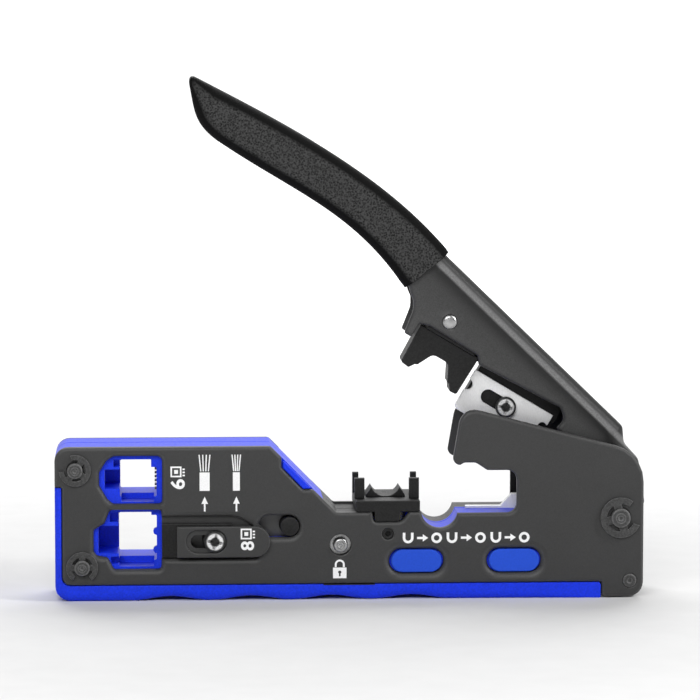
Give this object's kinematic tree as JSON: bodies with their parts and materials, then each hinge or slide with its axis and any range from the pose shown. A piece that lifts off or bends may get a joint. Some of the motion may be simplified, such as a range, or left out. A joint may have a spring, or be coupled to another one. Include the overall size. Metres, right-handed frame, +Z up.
{
  "type": "crimping tool",
  "caption": "Hand crimping tool for modular plugs: twin side plates on a moulded housing, sprung lever with foam grip, plug windows, cable cutter and ferrule dies.",
  "frame": {"origin": "middle of the footprint, on the surface that the tool stands on", "axes": "+X along the tool towards the lever's pivot, +Z up, -Y towards the front plate with the trimming knife"},
  "size_m": [0.1535, 0.0264, 0.1355],
  "materials": {
    "plate_coat": "satin dark grey powder coat",
    "housing_blue": "satin moulded plastic",
    "pad_blue": "matt moulded plastic",
    "die_black": "black oxide",
    "bright_steel": "ground and polished",
    "dark_steel": "burnished dark steel",
    "plain_steel": "machined",
    "spring_steel": "drawn wire",
    "bronze": "sintered bronze",
    "grip_foam": "fine grained soft foam rubber"
  },
  "bodies": {
    "frame": {"front_plate": "plate_coat", "rear_plate": "plate_coat", "front_shell": "housing_blue", "rear_shell": "housing_blue", "side_pads": "pad_blue", "nest_8p": "housing_blue", "nest_6p": "housing_blue", "lower_die": "die_black", "cutter_anvil": "bright_steel", "die_pin": "die_black", "end_pins": "dark_steel", "end_pin_clips": "dark_steel", "pivot_pin": "dark_steel", "pivot_clip": "dark_steel", "pivot_bush": "bronze", "pivot_spacers": "plain_steel", "corner_rivet": "dark_steel", "corner_spacer": "plain_steel", "return_spring": "spring_steel", "lock_spring": "spring_steel"},
    "ram": {"ram_block": "plain_steel", "drive_bar": "plain_steel", "ram_rivets": "plain_steel", "guide_post": "die_black", "punch_8p": "plain_steel", "punch_6p": "plain_steel", "knife_screw": "die_black"},
    "knife": {"knife_slide": "plate_coat", "trim_knife": "die_black"},
    "lock": {"lock_button": "bright_steel"},
    "lever_arm": {"lever": "plate_coat", "lever_grip": "grip_foam", "upper_die": "die_black", "upper_die_pin": "bright_steel", "drive_pin": "plain_steel", "blade_carrier": "die_black", "carrier_rivets": "plain_steel", "cutter_blade": "bright_steel", "blade_screw": "dark_steel"}
  },
  "joints": [
    {"name": "lever_swing", "type": "hinge", "parent": "frame", "child": "lever_arm", "pos_m": [0.0699, 0, 0.0211], "axis": [0, -1, 0], "range_deg": [0, 30.5], "stiffness_Nm_per_rad": 0.4, "springref_deg": -34.38, "deforming": ["return_spring"]},
    {"name": "ram_stroke", "type": "slide", "parent": "frame", "child": "ram", "axis": [-1, 0, 0], "range_m": [0, 0.00468]},
    {"name": "knife_adjust", "type": "slide", "parent": "ram", "child": "knife", "axis": [1, 0, 0], "range_m": [0, 0.0025]},
    {"name": "lock_press", "type": "slide", "parent": "frame", "child": "lock", "axis": [0, 1, 0], "range_m": [0, 0.0014], "stiffness_N_per_m": 600, "springref_m": -0.001, "deforming": ["lock_spring"]}
  ],
  "couplings": [
    {"joint": "ram_stroke", "follows": "lever_swing", "m_per_rad": 0.008743}
  ]
}
